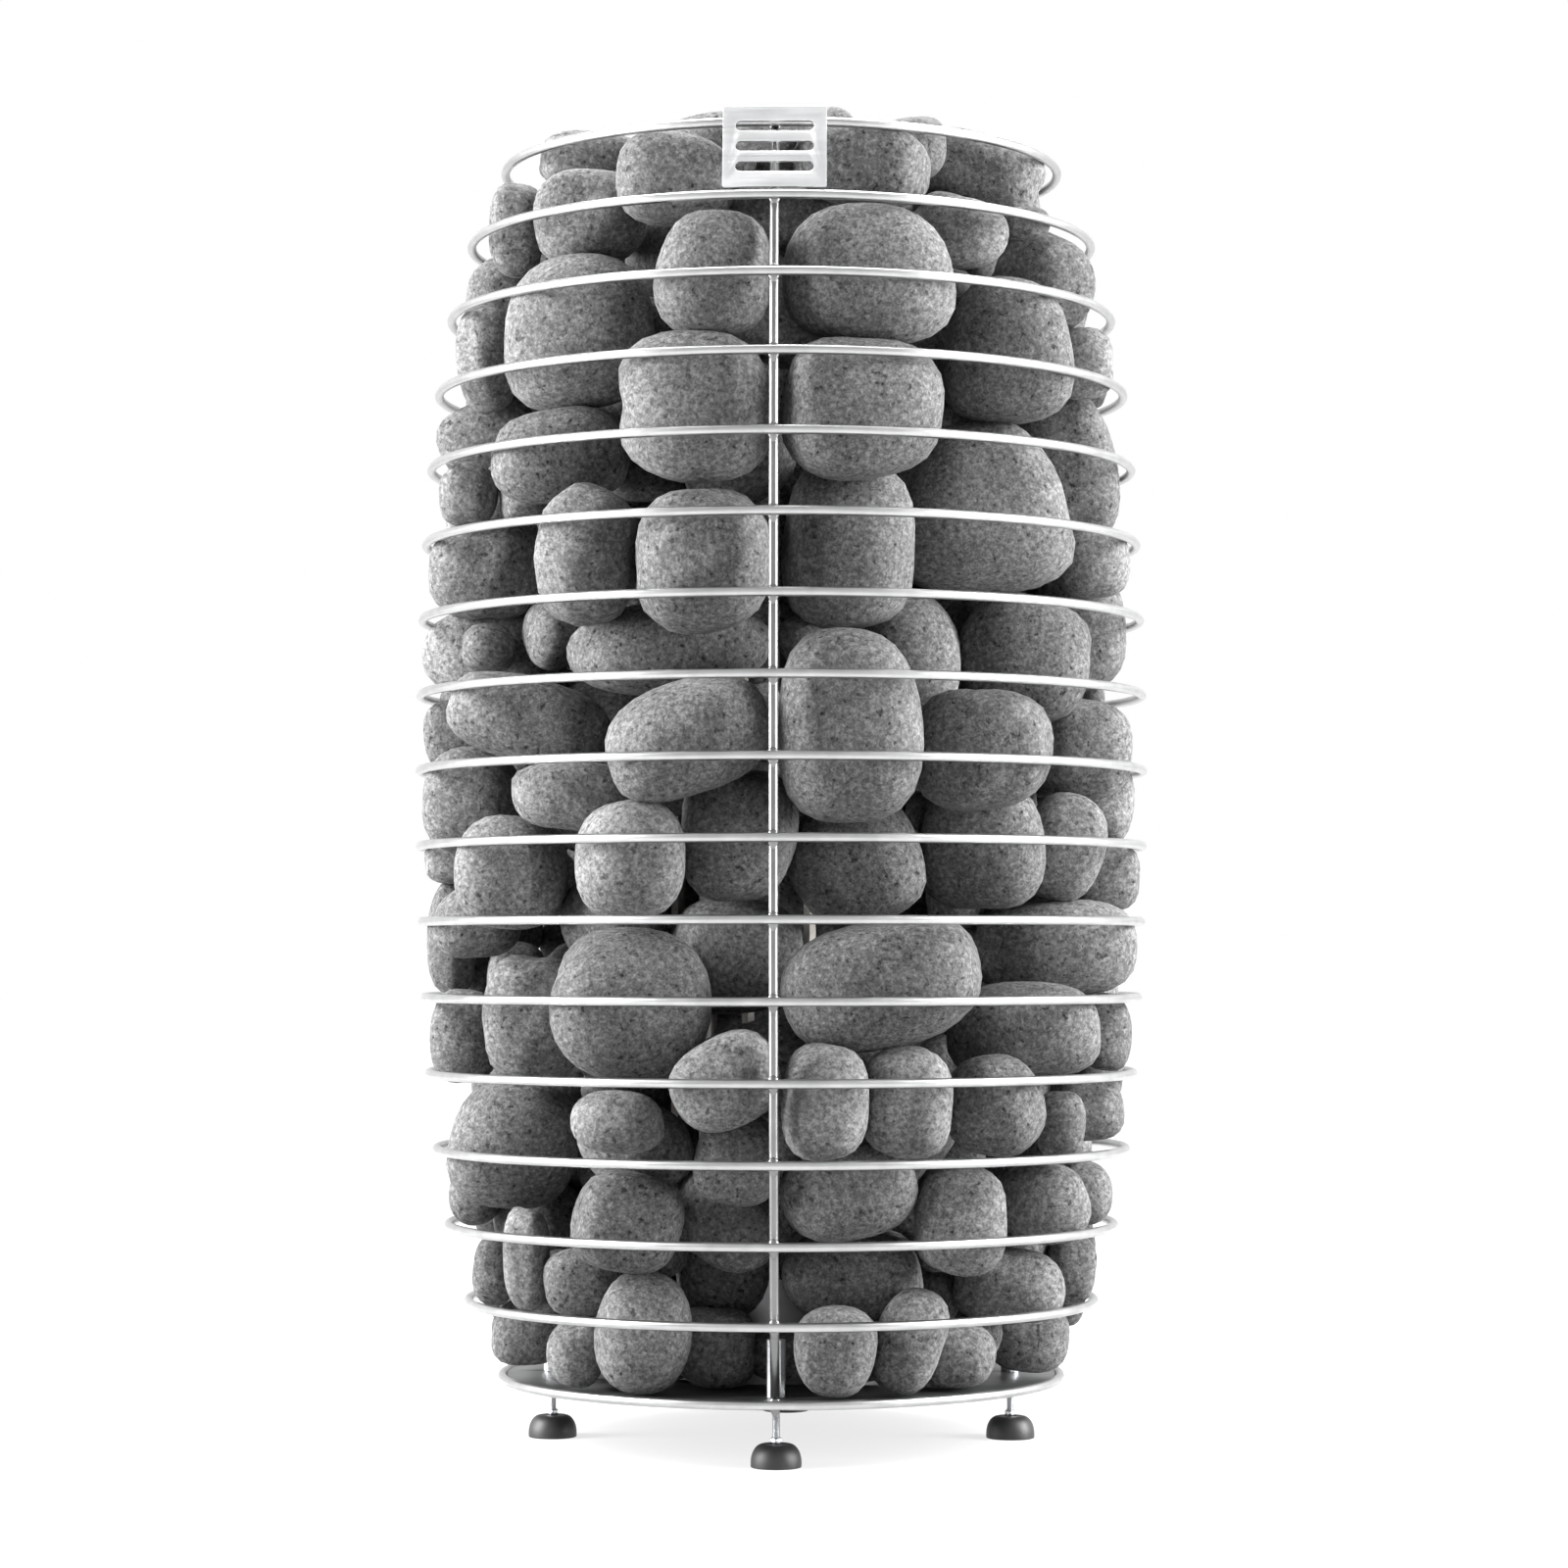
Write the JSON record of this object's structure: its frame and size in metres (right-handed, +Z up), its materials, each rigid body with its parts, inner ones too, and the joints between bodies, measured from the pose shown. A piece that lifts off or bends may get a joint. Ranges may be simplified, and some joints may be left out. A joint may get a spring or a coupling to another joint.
{
  "type": "sauna heater stove",
  "caption": "Free-standing column sauna heater: a barrel-shaped basket of welded wire rings filled with rounded stones round tubular heating elements, on levelling feet.",
  "frame": {"origin": "on the floor at the barrel's vertical axis, under the middle of the four feet", "axes": "+Z up along the barrel's axis, front with the plate towards -Y, +X to the right seen from the front"},
  "size_m": [0.485, 0.4837, 0.8808],
  "materials": {
    "satin_steel": "satin",
    "plain_steel": "satin",
    "zinc_steel": "satin",
    "element_sheath": "matte",
    "stone": "matte",
    "ceramic": "matte",
    "black_plastic": "matte"
  },
  "bodies": {
    "heater": {"ring_01": "satin_steel", "ring_02": "satin_steel", "ring_03": "satin_steel", "ring_04": "satin_steel", "ring_05": "satin_steel", "ring_06": "satin_steel", "ring_07": "satin_steel", "ring_08": "satin_steel", "ring_09": "satin_steel", "ring_10": "satin_steel", "ring_11": "satin_steel", "ring_12": "satin_steel", "ring_13": "satin_steel", "ring_14": "satin_steel", "ring_15": "satin_steel", "ring_16": "satin_steel", "ring_17": "satin_steel", "upright_front": "satin_steel", "upright_right": "satin_steel", "upright_left": "satin_steel", "front_plate": "satin_steel", "base_plate": "plain_steel", "terminal_box": "plain_steel", "terminal_cover": "plain_steel", "element_carrier": "plain_steel", "element_spacer": "plain_steel", "heating_element_1": "element_sheath", "heating_element_2": "element_sheath", "heating_element_3": "element_sheath", "heating_element_4": "element_sheath", "heating_element_5": "element_sheath", "heating_element_6": "element_sheath", "stones_tier_01": "stone", "stones_tier_02": "stone", "stones_tier_03": "stone", "stones_tier_04": "stone", "stones_tier_05": "stone", "stones_tier_06": "stone", "stones_tier_07": "stone", "stones_tier_08": "stone", "stones_tier_09": "stone", "stones_tier_10": "stone", "stones_core": "stone", "stones_cap": "stone", "terminal_block": "ceramic", "cable_gland": "black_plastic", "foot_socket_front": "zinc_steel", "foot_socket_right": "zinc_steel", "foot_socket_rear": "zinc_steel", "foot_socket_left": "zinc_steel"},
    "pad_front": {"foot_pad_front": "black_plastic"},
    "stud_front": {"foot_stud_front": "zinc_steel"},
    "pad_right": {"foot_pad_right": "black_plastic"},
    "stud_right": {"foot_stud_right": "zinc_steel"},
    "pad_rear": {"foot_pad_rear": "black_plastic"},
    "stud_rear": {"foot_stud_rear": "zinc_steel"},
    "pad_left": {"foot_pad_left": "black_plastic"},
    "stud_left": {"foot_stud_left": "zinc_steel"}
  },
  "joints": [
    {"name": "foot_front_level", "type": "slide", "parent": "heater", "child": "pad_front", "axis": [0, 0, 1], "range_m": [-0.008, 0.01]},
    {"name": "foot_front_turn", "type": "hinge", "parent": "pad_front", "child": "stud_front", "pos_m": [0, -0.152, 0.03], "axis": [0, 0, 1], "range_deg": [-3600.5, 4500.5]},
    {"name": "foot_right_level", "type": "slide", "parent": "heater", "child": "pad_right", "axis": [0, 0, 1], "range_m": [-0.008, 0.01]},
    {"name": "foot_right_turn", "type": "hinge", "parent": "pad_right", "child": "stud_right", "pos_m": [0.152, 0, 0.03], "axis": [0, 0, 1], "range_deg": [-3600.5, 4500.5]},
    {"name": "foot_rear_level", "type": "slide", "parent": "heater", "child": "pad_rear", "axis": [0, 0, 1], "range_m": [-0.008, 0.01]},
    {"name": "foot_rear_turn", "type": "hinge", "parent": "pad_rear", "child": "stud_rear", "pos_m": [0, 0.152, 0.03], "axis": [0, 0, 1], "range_deg": [-3600.5, 4500.5]},
    {"name": "foot_left_level", "type": "slide", "parent": "heater", "child": "pad_left", "axis": [0, 0, 1], "range_m": [-0.008, 0.01]},
    {"name": "foot_left_turn", "type": "hinge", "parent": "pad_left", "child": "stud_left", "pos_m": [-0.152, 0, 0.03], "axis": [0, 0, 1], "range_deg": [-3600.5, 4500.5]}
  ],
  "couplings": [
    {"joint": "foot_front_turn", "follows": "foot_front_level", "rad_per_m": 7854},
    {"joint": "foot_right_turn", "follows": "foot_right_level", "rad_per_m": 7854},
    {"joint": "foot_rear_turn", "follows": "foot_rear_level", "rad_per_m": 7854},
    {"joint": "foot_left_turn", "follows": "foot_left_level", "rad_per_m": 7854}
  ]
}
